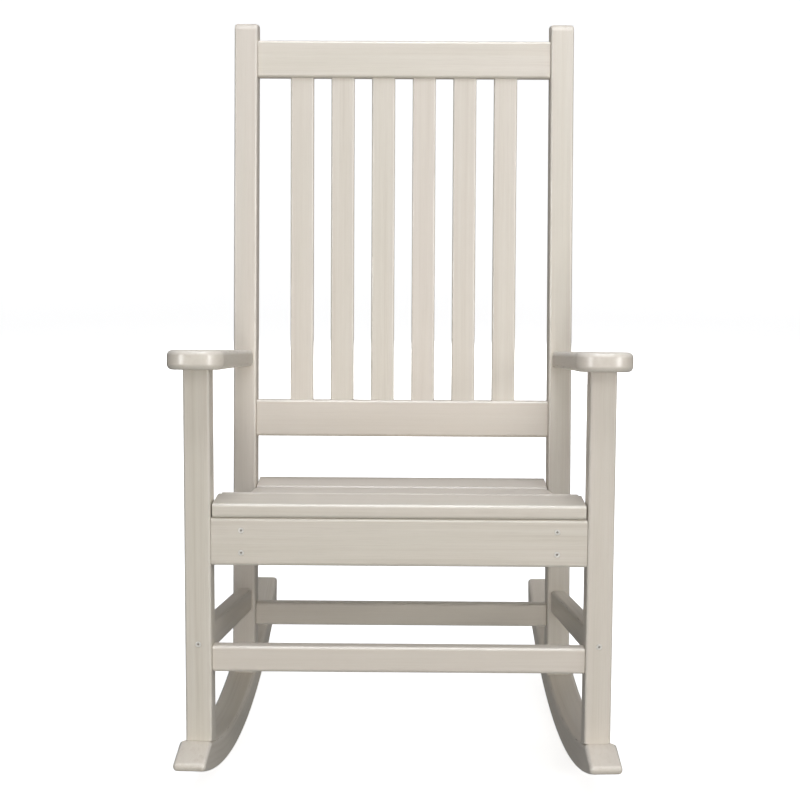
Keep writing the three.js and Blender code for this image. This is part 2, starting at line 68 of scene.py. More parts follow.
FRONT_SLAT_CENTRE = Vector((0, 0.0254, 0.33915))

# A rocker is a bent plank. The CAD's underside is a row of facets whose corners lie on the radius,
# and here it is the smooth arc that touches the middle of each facet.
ROCKER = {
    "radius": 1.0816,
    "centre_y": 0.262,
    "centre_z": 1.0023,
    "depth": 0.042,
    "width": 0.047,
    "nose_y": -0.080,
    "nose_top_z": -0.0134,
    "rear_angle": math.radians(27.65),
    "rear_rake": math.radians(1.6),
    "facet": math.radians(2.2),
    "foot": 0.02055,
    "tip_corner": 0.0065,
    "heel_corner": 0.012,
    "nose_corner": 0.0062,
    "under_steps": 80,
    "top_steps": 40,
    "rear_top_steps": 14,
    "round": 0.006,
}

# An arm's plan has its y from the arm's front edge, along the arm. Its inner side is a Bezier curve,
# and the two pulls are the curve's middle control points, as pairs of x and y.
ARM = {
    "front_y": -0.060,
    "front_z": 0.5444,
    "thickness": 0.028,
    "length": 0.545,
    "front_outer_x": 0.327,
    "front_inner_x": 0.246,
    "inner_rear_pull": (0.257, 0.330),
    "inner_front_pull": (0.248, 0.099),
    "rear_outer_x": 0.284,
    "rear_inner_x": 0.2485,
    "outer_corner": 0.033,
    "inner_corner": 0.032,
    "outer_corner_steps": 12,
    "outer_side_steps": 20,
    "inner_side_steps": 32,
    "inner_corner_steps": 10,
    "round": 0.008,
}

POST_ROUND = 0.004  # the edges of legs and back posts
BOARD_ROUND = 0.005
SLAT_ROUND = 0.0035
EDGE_STEPS = 6  # facets in a quarter of a rounded edge
FILLET_STEPS = 5  # facets in a rounded corner of a rocker's outline
LEAST_ROUND = 0.0002

SAW_CUT_ROUND = 0.0006
SAW_CUT_STEPS = 2
POST_DOME = 0.011  # the rounded front and rear of a post's top
POST_DOME_STEPS = 7
POST_DOME_SIDE = 0.4  # the rounding at the top's other two edges, as a share of the dome

# A screw's heights are measured from the top of its head. Its rim sets its small roundings too.
SCREW = {
    "sides": 36,
    "head_radius": 0.0042,
    "head_depth": 0.0024,
    "rim_depth": 0.0004,
    "shank_radius": 0.0022,
    "point": 0.004,
    "blunt_share": 0.4,
    "recess_radius": 0.00165,
    "recess_lobe": 0.0003,
    "recess_lobes": 6,
    "recess_depth": 0.0016,
    # how far out from the axis the recess's painted shade reaches
    "shaded_recess_radius": 0.0020,
}
HOLE_CLEARANCE = 0.0003
HOLE_RISE = 0.006  # how far a screw's hole is cut beyond the top of its head


# ---- Camera ------------------------------------------------------------------------------------

CAMERA = {
    "sensor_width": 36,
    "lens": 84.31,
    "place": (0.02367, -2.92103, 1.06566),
    "turn_degrees": (79.723, -0.241, 0.555),
}


def add_camera():
    data = bpy.data.cameras.new("camera")
    data.sensor_width = CAMERA["sensor_width"]
    data.lens = CAMERA["lens"]
    camera = bpy.data.objects.new("camera", data)
    camera.location = CAMERA["place"]
    camera.rotation_euler = [math.radians(turn) for turn in CAMERA["turn_degrees"]]
    bpy.context.collection.objects.link(camera)
    bpy.context.scene.camera = camera


add_camera()


# ---- Materials ---------------------------------------------------------------------------------

SAND = (0.625, 0.566, 0.482, 1)
PALE_STREAK = (0.690, 0.640, 0.560, 1)
DARK_STREAK = (0.490, 0.432, 0.360, 1)
GREEN_CLOUD = (0.60, 0.57, 0.47, 1)
PINK_TINT = (0.66, 0.59, 0.52, 1)
RUBBED_EDGE = (0.70, 0.66, 0.59, 1)

BRIGHT_STEEL = (0.86, 0.83, 0.77, 1)
DULL_STEEL = (0.72, 0.69, 0.64, 1)
# Painted shade for the inside of a screw's recess.
RECESS_SHADE = (0.33, 0.30, 0.26, 1)


class Shader:
    """A node material, with short calls to add nodes and join them."""

    def __init__(self, name):
        self.material = bpy.data.materials.new(name)
        self.material.use_nodes = True
        self.tree = self.material.node_tree
        self.surface = self.tree.nodes["Principled BSDF"]

    def add(self, kind, inputs=None, **settings):
        node = self.tree.nodes.new("ShaderNode" + kind)
        for name, value in settings.items():
            setattr(node, name, value)
        for name, value in (inputs or {}).items():
            self.feed(node.inputs[name], value)
        return node

    def feed(self, socket, value):
        if isinstance(value, bpy.types.NodeSocket):
            self.tree.links.new(value, socket)
        else:
            socket.default_value = value

    def set(self, **values):
        for name, value in values.items():
            self.feed(self.surface.inputs[name.replace("_", " ")], value)

    def attribute(self, name, output="Fac"):
        return self.add("Attribute", attribute_name=name).outputs[output]

    def noise(self, vector, stretch, detail, roughness=0.5, distortion=0.0):
        scaled = self.add("Mapping", {"Vector": vector, "Scale": stretch})
        noise = self.add(
            "TexNoise",
            {
                "Vector": scaled.outputs["Vector"],
                "Scale": 1.0,
                "Detail": detail,
                "Roughness": roughness,
                "Distortion": distortion,
            },
        )
        return noise.outputs["Fac"]

    def remap(self, value, low, high, to_low=0.0, to_high=1.0):
        inputs = {
            "Value": value,
            "From Min": low,
            "From Max": high,
            "To Min": to_low,
            "To Max": to_high,
        }
        return self.add("MapRange", inputs).outputs["Result"]

    def math(self, operation, first, second):
        node = self.add("Math", operation=operation)
        self.feed(node.inputs[0], first)
        self.feed(node.inputs[1], second)
        return node.outputs["Value"]

    def mix(self, factor, first, second):
        node = self.add("Mix", data_type="RGBA")
        self.feed(node.inputs["Factor"], factor)
        self.feed(node.inputs["A"], first)
        self.feed(node.inputs["B"], second)
        return node.outputs["Result"]

    def bump(self, height, distance, strength, onto=None):
        inputs = {"Height": height, "Distance": distance, "Strength": strength}
        if onto is not None:
            inputs["Normal"] = onto
        return self.add("Bump", inputs).outputs["Normal"]


def lumber_material():
    """Sand-coloured plastic lumber: lengthwise streaks, a fine drawn grain and rubbed edges."""
    shader = Shader("plastic_lumber")
    grain = shader.attribute("grain", "Vector")

    cloud = shader.noise(grain, (2.2, 14, 14), 3)
    streak = shader.noise(grain, (1.6, 130, 130), 4, 0.62, 0.4)
    fibre = shader.noise(grain, (22, 900, 900), 3, 0.6)
    wave = shader.noise(grain, (5, 28, 28), 1)

    colour = shader.mix(shader.remap(streak, 0.32, 0.72), SAND, PALE_STREAK)
    colour = shader.mix(shader.remap(streak, 0.42, 0.22, 0, 0.40), colour, DARK_STREAK)
    colour = shader.mix(shader.remap(fibre, 0.5, 0.28, 0, 0.28), colour, DARK_STREAK)
    colour = shader.mix(shader.remap(cloud, 0.35, 0.7, 0, 0.35), colour, GREEN_CLOUD)
    colour = shader.mix(shader.attribute("tint"), colour, PINK_TINT)

    patches = shader.remap(fibre, 0.3, 0.7, 0.25, 0.8)
    rubbed = shader.math("MULTIPLY", shader.attribute("edge"), patches)
    colour = shader.mix(rubbed, colour, RUBBED_EDGE)

    roughness = shader.remap(fibre, 0.3, 0.7, 0.28, 0.42)
    roughness = shader.math("SUBTRACT", roughness, shader.math("MULTIPLY", rubbed, 0.10))
    waves = shader.bump(wave, 0.0012, 0.35)
    shader.set(
        Base_Color=colour,
        Roughness=roughness,
        Specular_IOR_Level=0.45,
        Normal=shader.bump(fibre, 0.00022, 0.55, waves),
    )
    return shader.material


def screw_material():
    """Stainless steel with fine turning marks, dulled by the weather, and painted shade in the recess,
    where it is dark, rough and not metallic.
    """
    shader = Shader("stainless_screw")
    place = shader.add("TexCoord").outputs["Object"]
    scratch = shader.noise(place, (2600, 2600, 2600), 2)
    dull = shader.noise(place, (420, 420, 420), 3)
    # Painted shade in the recess: a darker colour, more roughness and no metal.
    shaded_recess = shader.attribute("shaded_recess")
    colour = shader.mix(shader.remap(dull, 0.35, 0.7), BRIGHT_STEEL, DULL_STEEL)
    shader.set(
        Base_Color=shader.mix(shaded_recess, colour, RECESS_SHADE),
        Metallic=shader.remap(shaded_recess, 0, 1, 0.5, 0),
        Roughness=shader.math("MAXIMUM", shaded_recess, shader.remap(scratch, 0.3, 0.7, 0.28, 0.46)),
        Normal=shader.bump(scratch, 0.00005, 0.4),
    )
    return shader.material


def stage_material():
    """A matt pale floor that glows, so that it comes out almost white."""
    shader = Shader("pale_floor")
    shader.set(
        Base_Color=(0.90, 0.90, 0.90, 1),
        Roughness=0.8,
        Specular_IOR_Level=0.1,
        Emission_Color=(1, 1, 1, 1),
        Emission_Strength=0.72,
    )
    return shader.material


LUMBER = lumber_material()
STEEL = screw_material()


# ---- Reading the CAD frame ---------------------------------------------------------------------

SAME_WAY = 0.9999  # cosine above which two faces count as parallel
END_WARD = 0.94  # cosine above which a face counts as one that closes an end
SQUARE_ON = 0.1  # cosine below which a face counts as square to another


def cad_mesh(node):
    """Corner points, face normals, face areas and face centres of a CAD node."""
    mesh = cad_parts[node].data
    points = np.array([v.co for v in mesh.vertices])
    normals = np.array([p.normal for p in mesh.polygons])
    areas = np.array([p.area for p in mesh.polygons])
    centres = np.array([p.center for p in mesh.polygons])
    return points, normals, areas, centres


def widest(normals, areas, allowed):
    """The direction that the most area faces, either way, among the allowed faces."""
    likeness = np.abs(normals @ normals.T) > SAME_WAY
    totals = np.where(allowed, likeness @ (areas * allowed), 0)
    return normals[int(np.argmax(totals))]


class Board:
    """A straight board of the CAD frame: its three axes, its size and the planes of its two ends.

    The first axis runs along the board. Of the other two, the last is the one nearer to Y.
    """

    def __init__(self, node):
        points, normals, areas, centres = cad_mesh(node)
        face = widest(normals, areas, np.ones(len(areas), bool))
        side = widest(normals, areas, np.abs(normals @ face) < SQUARE_ON)
        side = side - face * (side @ face)
        across = sorted((face, side / np.linalg.norm(side)), key=lambda axis: abs(axis[1]))
        across = [axis * np.sign(axis[np.argmax(np.abs(axis))]) for axis in across]
        along = np.cross(across[0], across[1])
        along *= np.sign(along[np.argmax(np.abs(along))])
        self.axes = np.array([along, *across])

        spread = points @ self.axes.T
        low, high = spread.min(0), spread.max(0)
        self.middle = (low + high) / 2
        self.half = (high - low) / 2
        self.ends = [self.end_plane(sign, normals, areas, centres) for sign in (-1, 1)]

    def end_plane(self, sign, normals, areas, centres):
        """The plane of an end: its normal in the board's axes, and its distance along it."""
        facing = sign * (normals @ self.axes[0]) > END_WARD
        normal = widest(normals, areas, facing)
        same = facing & (normals @ normal > SAME_WAY)
        return normal @ self.axes.T, float((centres[same] @ normal).max())

    def along_at(self, end, a, b):
        """How far along the board an end plane is, at a place of its section."""
        normal, offset = self.ends[end]
        return (offset - normal[1] * a - normal[2] * b) / normal[0]

    def world(self, points):
        """Points given in the board's axes, in the row frame."""
        return np.asarray(points) @ self.axes


# ---- Mesh helpers ------------------------------------------------------------------------------

WELD = 1e-6  # points nearer than this are one point
FLAT = math.radians(0.5)  # faces that meet at less than this are one face


def loft(rings):
    """A closed solid through rings of points, with a face over the first and the last ring."""
    count = len(rings[0])
    mesh = bmesh.new()
    loops = [[mesh.verts.new(point) for point in ring] for ring in rings]
    for lower, upper in zip(loops, loops[1:]):
        for i in range(count):
            j = (i + 1) % count
            mesh.faces.new((lower[i], lower[j], upper[j], upper[i]))
    mesh.faces.new(loops[0][::-1])
    mesh.faces.new(loops[-1])
    bmesh.ops.remove_doubles(mesh, verts=mesh.verts, dist=WELD)
    bmesh.ops.recalc_face_normals(mesh, faces=mesh.faces)
    return to_data(mesh)


def to_data(mesh):
    """Turns an editing mesh into mesh data, and frees it."""
    data = bpy.data.meshes.new("shape")
    mesh.to_mesh(data)
    mesh.free()
    return data


def joined(shapes):
    """One mesh that holds several, which are used up."""
    mesh = bmesh.new()
    for shape in shapes:
        mesh.from_mesh(shape)
        bpy.data.meshes.remove(shape)
    return to_data(mesh)


def carve(shape, cutters):
    """The shape less its cutters, which are used up."""
    if not cutters:
        return shape
    body = bpy.data.objects.new("body", shape)
    tool = bpy.data.objects.new("tool", joined(cutters))
    for item in (body, tool):
        bpy.context.collection.objects.link(item)
    cut = body.modifiers.new("cut", "BOOLEAN")
    cut.operation = "DIFFERENCE"
    cut.solver = "EXACT"
    cut.object = tool
    bpy.context.view_layer.update()
    evaluated = body.evaluated_get(bpy.context.evaluated_depsgraph_get())
    result = bpy.data.meshes.new_from_object(evaluated)
    bpy.data.objects.remove(body)
    bpy.data.objects.remove(tool)
    return result


CORNERS = [(1, 1), (-1, 1), (-1, -1), (1, -1)]  # the corners of a section, in turn


def rounded_section(half_a, half_b, radius):
    """Points round a rectangle with rounded corners, whose middle is at zero."""
    radius = max(radius, LEAST_ROUND)
    points = []
    for quarter, (sign_a, sign_b) in enumerate(CORNERS):
        for step in range(EDGE_STEPS + 1):
            angle = (quarter + step / EDGE_STEPS) * math.pi / 2
            a = sign_a * (half_a - radius) + radius * math.cos(angle)
            b = sign_b * (half_b - radius) + radius * math.sin(angle)
            points.append((a, b))
    return np.array(points)


def arc_profile(radius, steps):
    """Pairs of inset and depth down a quarter round, from its top to its foot."""
    angles = [math.pi / 2 * i / steps for i in range(steps + 1)]
    return [(radius * (1 - math.sin(t)), radius * (1 - math.cos(t))) for t in angles]


# ---- Pieces ------------------------------------------------------------------------------------

CREASE = math.radians(38)  # edges sharper than this are not smoothed over

# Each lumber piece gets its own stretch of grain and its own tint, from its place in the order.
GRAIN_STEPS = np.array([0.618, 0.414, 0.732])
GRAIN_RANGE = 5
TINT_STEP = 0.755
TINT_RANGE = 0.5

pieces_made = []


def finish_piece(node, shape, material):
    """Shades a shape, makes it the look of its CAD node and puts it on the chair's only body."""
    shape.polygons.foreach_set("use_smooth", [True] * len(shape.polygons))
    shape.set_sharp_from_angle(angle=CREASE)
    shape.materials.clear()
    shape.materials.append(material)
    piece = bpy.data.objects.new(node + "_look", shape)
    bpy.context.collection.objects.link(piece)
    weighted = piece.modifiers.new("flat_faces", "WEIGHTED_NORMAL")
    weighted.keep_sharp = True
    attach(piece, "root")
    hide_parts(node)
    pieces_made.append(node)


def corner_points(shape):
    return np.array([v.co for v in shape.vertices])


def set_point_values(shape, name, values):
    """Stores a number for each point of a shape, for its material to read."""
    attribute = shape.attributes.new(name, "FLOAT", "POINT")
    attribute.data.foreach_set("value", values.astype(np.float32))


def add_lumber(node, shape, grain, edge):
    """A lumber piece. grain places each point along and across the board, and edge is its wear."""
    order = len(pieces_made)
    finish_piece(node, shape, LUMBER)
    points = corner_points(shape)
    shift = GRAIN_STEPS * order % 1 * GRAIN_RANGE
    vectors = shape.attributes.new("grain", "FLOAT_VECTOR", "POINT")
    vectors.data.foreach_set("vector", (grain(points) + shift).astype(np.float32).ravel())
    set_point_values(shape, "edge", edge(points))
    set_point_values(shape, "tint", np.full(len(points), TINT_STEP * order % 1 * TINT_RANGE))


def saw_cut():
    """Insets in both directions and depth, down the rounded rim of a sawn end."""
    return [(inset, inset, depth) for inset, depth in arc_profile(SAW_CUT_ROUND, SAW_CUT_STEPS)]


def dome_top(dome):
    """The same for a domed top, which falls further in one direction than in the other."""
    side_round = POST_DOME_SIDE * dome
    profile = []
    for inset, depth in arc_profile(dome, POST_DOME_STEPS):
        fall = max(0.0, 1 - depth / side_round)
        profile.append((side_round * (1 - math.sqrt(1 - fall * fall)), inset, depth))
    return profile


def beam(board, radius, dome=0.0):
    """A straight board as a loft, which ends in the CAD's end planes. A dome rounds its top."""
    top = dome_top(dome) if dome else saw_cut()
    rings = []
    for end, inward, profile in ((0, 1, saw_cut()), (1, -1, top[::-1])):
        for inset_a, inset_b, depth in profile:
            half_a, half_b = board.half[1:] - (inset_a, inset_b)
            section = rounded_section(half_a, half_b, radius - min(inset_a, inset_b))
            section += board.middle[1:]
            rings.append([(board.along_at(end, a, b) + inward * depth, a, b) for a, b in section])
    return loft([board.world(ring) for ring in rings])


def beam_edge(board, radius):
    """Wear of a straight board: full in the middle of each rounded edge."""

    def edge(points):
        local = points @ board.axes.T - board.middle
        over = (np.abs(local[:, 1:]) - (board.half[1:] - radius)) / radius
        return np.clip(over.min(1) * math.sqrt(2), 0, 1)

    return edge


def add_beam(node, radius, cutters=(), dome=0.0):
    board = Board(node)
    shape = carve(beam(board, radius, dome), list(cutters) + holes_through(node))
    add_lumber(node, shape, lambda points: points @ board.axes.T, beam_edge(board, radius))


# ---- Screws ------------------------------------------------------------------------------------


class Screw:
    """A screw of the CAD frame: the middle of its head, the way its head faces, and its length."""

    def __init__(self, node):
        self.node = node
        points = np.unique(cad_mesh(node)[0].round(6), axis=0)
        centre = points.mean(0)
        axis = np.linalg.svd(points - centre)[2][0]
        along = (points - centre) @ axis
        off_axis = np.linalg.norm(points - centre - np.outer(along, axis), axis=1)
        if along[np.argmax(off_axis)] < 0:
            axis, along = -axis, -along
        self.out = axis
        self.length = along.max() - along.min()
        self.head = centre + axis * along.max()
        self.low, self.high = points.min(0), points.max(0)
        self.set_cross_axes()

    def set_cross_axes(self):
        """Two directions, u and v, that are square to the screw and to each other."""
        axis = self.out
        start = np.eye(3)[int(np.argmin(np.abs(axis)))]
        self.u = np.cross(axis, start)
        self.u /= np.linalg.norm(self.u)
        self.v = np.cross(axis, self.u)

    def ring(self, radius, height):
        """Points round the axis. The radius may be a number or a function of the angle."""
        points = []
        for i in range(SCREW["sides"]):
            angle = 2 * math.pi * i / SCREW["sides"]
            r = radius(angle) if callable(radius) else radius
            turn = math.cos(angle) * self.u + math.sin(angle) * self.v
            points.append(self.head + self.out * height + turn * r)
        return points

    def shape(self):
        """The screw: a blunt point, a shank, a countersunk head and a star-shaped recess."""
        head, shank = SCREW["head_radius"], SCREW["shank_radius"]
        rim, recess = SCREW["rim_depth"], SCREW["recess_depth"]
        profile = [
            (rim / 2, -self.length),
            (shank * SCREW["blunt_share"], -self.length + rim / 2),
            (shank, -self.length + SCREW["point"]),
            (shank, -SCREW["head_depth"]),
            (head, -rim),
            (head - rim / 4, -rim / 4),
            (head - rim, 0.0),
            (star(0), -rim / 4),
            (star(0.3 * rim), -0.75 * rim),
            (star(rim / 2), -recess),
            (0.75 * rim, -recess - rim),
        ]
        return loft([self.ring(radius, height) for radius, height in profile])

    def hole(self):
        """The hole that the screw stands in, open above its head."""
        head = SCREW["head_radius"] + HOLE_CLEARANCE
        shank = SCREW["shank_radius"] + HOLE_CLEARANCE
        profile = [
            (shank * SCREW["blunt_share"], -self.length - HOLE_CLEARANCE),
            (shank, -self.length + SCREW["point"]),
            (shank, -SCREW["head_depth"] - HOLE_CLEARANCE),
            (head, -SCREW["rim_depth"]),
            (head, HOLE_RISE),
        ]
        return loft([self.ring(radius, height) for radius, height in profile])


def star(inset):
    """The recess's outline, as the radius at an angle, drawn in by an inset."""

    def radius(angle):
        lobe = SCREW["recess_lobe"] * math.cos(SCREW["recess_lobes"] * angle)
        return SCREW["recess_radius"] + lobe - inset

    return radius


screws = [Screw(node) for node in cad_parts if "_screw_" in node]


def add_screw(screw):
    """A screw, with the points inside its recess marked for painted shade."""
    shape = screw.shape()
    finish_piece(screw.node, shape, STEEL)
    points = corner_points(shape) - screw.head
    depth = -points @ screw.out
    radius = np.linalg.norm(points + np.outer(depth, screw.out), axis=1)
    # Points inside the recess get painted shade.
    inside = (depth > SCREW["rim_depth"] / 2) & (depth < 2 * SCREW["recess_depth"])
    set_point_values(shape, "shaded_recess", inside & (radius < SCREW["shaded_recess_radius"]))


def holes_through(node):
    """Holes of the screws whose boxes meet this node's box."""
    low, high = (np.array(corner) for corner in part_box(node))
    return [s.hole() for s in screws if (s.low < high).all() and (s.high > low).all()]


# ---- Planks: arms and rockers ------------------------------------------------------------------


def chair_frame():
    """From the chair's own frame, square to its front legs, to the row frame."""
    low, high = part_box("seat_slat_front")
    lean = Matrix.Rotation(-REST_TILT, 4, "X")
    return Matrix.Translation((low + high) / 2 - lean @ FRONT_SLAT_CENTRE) @ lean


CHAIR = chair_frame()

# Stands a plank on its edge: its outline's axes become the chair's y and z.
UPRIGHT = Matrix(((0, 0, 1, 0), (1, 0, 0, 0), (0, 1, 0, 0), (0, 0, 0, 1)))


def inset_outline(outline, distance):
    """The outline moved inwards. It runs anticlockwise, and its corners stay mitred."""
    points = np.array(outline)
    before = points - np.roll(points, 1, axis=0)
    after = np.roll(before, -1, axis=0)
    normals = []
    for edge in (before, after):
        unit = edge / np.linalg.norm(edge, axis=1)[:, None]
        normals.append(np.column_stack([-unit[:, 1], unit[:, 0]]))
    sharpness = 1 + (normals[0] * normals[1]).sum(1)
    return points + distance * (normals[0] + normals[1]) / sharpness[:, None]


def plank(outline, thickness, radius, place):
    """A board cut to an outline, and rounded along every edge. place is where it lies."""
    half = thickness / 2
    quarter = arc_profile(radius, EDGE_STEPS)
    levels = [(inset, depth - half) for inset, depth in quarter]
    levels += [(inset, half - depth) for inset, depth in quarter[::-1]]
    rings = []
    for inset, height in levels:
        ring = inset_outline(outline, inset)
        rings.append([place @ Vector((x, y, height)) for x, y in ring])
    return loft(rings)


def plank_edge(place, thickness, radius):
    """Wear of a plank: full half-way round its rounded edges."""
    inverse = np.array(place.inverted())

    def edge(points):
        height = points @ inverse[2, :3] + inverse[2, 3]
        up = np.clip((np.abs(height) - (thickness / 2 - radius)) / radius, 0, 1)
        return 2 * up * np.sqrt(1 - up * up)

    return edge


def arc_points(centre, radius, start, stop, steps):
    """Points of an arc round a centre, both ends included."""
    angles = np.linspace(start, stop, steps + 1)
    return [(centre[0] + radius * math.cos(t), centre[1] + radius * math.sin(t)) for t in angles]


def bezier(controls, steps):
    """Points of a Bezier curve of any degree, both ends included."""
    points = []
    for t in np.linspace(0, 1, steps + 1):
        layer = np.array(controls, float)
        while len(layer) > 1:
            layer = layer[:-1] * (1 - t) + layer[1:] * t
        points.append(tuple(layer[0]))
    return points


def fillet(before, corner, after, radius):
    """Points of the arc that rounds off a corner between two straight edges."""
    corner = Vector(corner)
    back, ahead = ((Vector(p) - corner).normalized() for p in (before, after))
    half_angle = back.angle(ahead) / 2
    centre = corner + (back + ahead).normalized() * radius / math.sin(half_angle)
    reach = radius / math.tan(half_angle)
    start, stop = corner + back * reach - centre, corner + ahead * reach - centre
    step = -start.angle_signed(stop) / FILLET_STEPS
    spokes = (Matrix.Rotation(step * i, 2) @ start for i in range(FILLET_STEPS + 1))
    return [tuple(centre + spoke) for spoke in spokes]


def arm_outline(side):
    """Plan of an arm from its front edge: a rounded paddle that narrows towards the post."""
    a = ARM
    outer_r, inner_r = a["outer_corner"], a["inner_corner"]
    outer = [(a["front_outer_x"], outer_r), (a["front_outer_x"], a["length"] / 2)]
    outer.append((a["rear_outer_x"], a["length"]))
    inner = [
        (a["rear_inner_x"], a["length"]),
        a["inner_rear_pull"],
        a["inner_front_pull"],
        (a["front_inner_x"], inner_r),
    ]
    outer_centre = (a["front_outer_x"] - outer_r, outer_r)
    inner_centre = (a["front_inner_x"] + inner_r, inner_r)
    points = arc_points(outer_centre, outer_r, -math.pi / 2, 0, a["outer_corner_steps"])
    points += bezier(outer, a["outer_side_steps"])[1:]
    points += bezier(inner, a["inner_side_steps"])[:-1]
    points += arc_points(inner_centre, inner_r, math.pi, 1.5 * math.pi, a["inner_corner_steps"])
    outline = [(side * x, y) for x, y in points]
    return outline if side > 0 else outline[::-1]


def trim(shape, node, direction):
    """Cuts a shape off at the flat end that its CAD node has in a direction."""
    _, normals, areas, centres = cad_mesh(node)
    facing = normals @ np.array(direction) > END_WARD
    normal = widest(normals, areas, facing)
    level = centres[facing & (normals @ normal > SAME_WAY)]
    point = level[np.argmax(level @ normal)]
    mesh = bmesh.new()
    mesh.from_mesh(shape)
    bpy.data.meshes.remove(shape)
    everything = mesh.verts[:] + mesh.edges[:] + mesh.faces[:]
    cut = bmesh.ops.bisect_plane(
        mesh, geom=everything, plane_co=point, plane_no=normal, clear_outer=True, dist=WELD
    )
    rim = [item for item in cut["geom_cut"] if isinstance(item, bmesh.types.BMEdge)]
    bmesh.ops.contextual_create(mesh, geom=rim)
    bmesh.ops.recalc_face_normals(mesh, faces=mesh.faces)
    return to_data(mesh)


def grain_along_y(place):
    """Grain that runs straight along the y of the place that a board lies in."""
    turn = np.array(place.to_3x3())[:, [1, 0, 2]]
    return lambda points: points @ turn


def add_arm(word, side):
    node = f"arm_{word}"
    place = (
        CHAIR
        @ Matrix.Translation((0, ARM["front_y"], ARM["front_z"]))
        @ Matrix.Rotation(-SIDE_SLOPE, 4, "X")
        @ Matrix.Translation((0, 0, ARM["thickness"] / 2))
    )
    shape = plank(arm_outline(side), ARM["thickness"], ARM["round"], place)
    shape = carve(trim(shape, node, (0, 1, 0)), holes_through(node))
    edge = plank_edge(place, ARM["thickness"], ARM["round"])
    add_lumber(node, shape, grain_along_y(place), edge)


def rocker_outline():
    """Side view of a rocker, as pairs of y and z, from the nose round the underside.

    The top is flat under each leg, from half a foot in front of it to half a foot behind it.
    """
    r = ROCKER
    radius = r["radius"] * math.cos(r["facet"] / 2)
    top_radius = r["radius"] - r["depth"]

    def on_arc(distance, angle):
        return (
            r["centre_y"] + distance * math.sin(angle),
            r["centre_z"] - distance * math.cos(angle),
        )

    def angle_at(y):
        return math.asin((y - r["centre_y"]) / top_radius)

    def stretch(distance, start, stop, steps):
        return [on_arc(distance, angle) for angle in np.linspace(start, stop, steps + 1)]

    nose_angle = math.asin((r["nose_y"] - r["centre_y"]) / r["radius"])
    foot = r["foot"]
    rear_start, rear_stop = angle_at(FRAME_DEPTH + foot), angle_at(FRAME_DEPTH - foot)
    under = stretch(radius, nose_angle, r["rear_angle"] - r["rear_rake"], r["under_steps"])
    top = stretch(top_radius, r["rear_angle"], rear_start, r["rear_top_steps"])
    top += stretch(top_radius, rear_stop, angle_at(foot), r["top_steps"])
    leg_front = on_arc(top_radius, angle_at(-foot))
    nose = (r["nose_y"], r["nose_top_z"])

    rear_low = fillet(under[-2], under[-1], top[0], r["heel_corner"])
    rear_high = fillet(under[-1], top[0], top[1], r["tip_corner"])
    nose_high = fillet(leg_front, nose, under[0], r["nose_corner"])
    nose_low = fillet(nose, under[0], under[1], r["nose_corner"])
    return nose_low + under[2:-1] + rear_low + rear_high + top[1:] + [leg_front] + nose_high


def add_rocker(word, side):
    node = f"rocker_{word}"
    outward = side * (ROCKER["width"] - LEG_STOCK) / 2
    place = (
        CHAIR
        @ Matrix.Translation((side * LEG_HALF_SPAN, 0, 0))
        @ Matrix.Rotation(side * TOE, 4, "Z")
        @ Matrix.Translation((outward, 0, 0))
        @ UPRIGHT
    )
    shape = plank(rocker_outline(), ROCKER["width"], ROCKER["round"], place)
    shape = carve(shape, holes_through(node))
    inverse = np.array(place.inverted())

    def bent_grain(points):
        """Grain that follows the curve, as in a plank bent to shape."""
        local = points @ inverse[:3, :3].T + inverse[:3, 3]
        y, z = local[:, 0] - ROCKER["centre_y"], ROCKER["centre_z"] - local[:, 1]
        return np.column_stack([np.arctan2(y, z) * ROCKER["radius"], np.hypot(y, z), local[:, 2]])

    add_lumber(node, shape, bent_grain, plank_edge(place, ROCKER["width"], ROCKER["round"]))


def add_seat_side_rail(word):
    """The dished rail under the slats keeps its CAD shape, with its flat faces made whole."""
    node = f"seat_side_rail_{word}"
    mesh = bmesh.new()
    mesh.from_mesh(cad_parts[node].data)
    bmesh.ops.remove_doubles(mesh, verts=mesh.verts, dist=WELD)
    bmesh.ops.dissolve_limit(mesh, angle_limit=FLAT, verts=mesh.verts, edges=mesh.edges)
    add_lumber(node, to_data(mesh), grain_along_y(CHAIR), lambda points: np.zeros(len(points)))


# ---- The chair ---------------------------------------------------------------------------------

CROSS_BOARDS = ["front_apron", "front_stretcher", "rear_stretcher", "rear_seat_rail"]
SEAT_SLATS = ["seat_slat_front", "seat_slat_rear"] + [f"seat_slat_mid_{i}" for i in range(1, 5)]
BACK_SLATS = [f"back_slat_{i}" for i in range(1, 7)]
BACK_RAILS = ["top_rail", "lower_back_rail"]


def mortise(node):
    """The pocket round a back slat's ends, as one long bar."""
    slat = Board(node)
    slat.half = slat.half + HOLE_CLEARANCE
    rings = []
    for end, outward in ((0, -HOLE_CLEARANCE), (1, HOLE_CLEARANCE)):
        section = [slat.middle[1:] + slat.half[1:] * corner for corner in CORNERS]
        rings.append([(slat.along_at(end, a, b) + outward, a, b) for a, b in section])
    return loft([slat.world(ring) for ring in rings])


def add_chair():
    """All the pieces, in the order that their grain and tint are taken from."""
    for word, side in SIDES.items():
        add_beam(f"front_leg_{word}", POST_ROUND)
        add_beam(f"back_post_{word}", POST_ROUND, dome=POST_DOME)
        add_beam(f"side_stretcher_{word}", BOARD_ROUND)
        add_arm(word, side)
        add_rocker(word, side)
        add_seat_side_rail(word)
    for node in CROSS_BOARDS + SEAT_SLATS:
        add_beam(node, BOARD_ROUND)
    for node in BACK_SLATS:
        add_beam(node, SLAT_ROUND)
    for node in BACK_RAILS:
        add_beam(node, BOARD_ROUND, [mortise(slat) for slat in BACK_SLATS])
    for screw in screws:
        add_screw(screw)


add_chair()


# ---- Stage -------------------------------------------------------------------------------------

STAGE = {
    "hub_radius": 0.01,
    "flat_radius": 5.0,
    "bend": 2.0,
    "height": 7.0,
    "drop": 0.0002,
    "bend_steps": 12,
    "sides": 64,
}
LIT_SPOT = Vector((0, 0, 0.5))
ROOM_LIGHT = 0.23


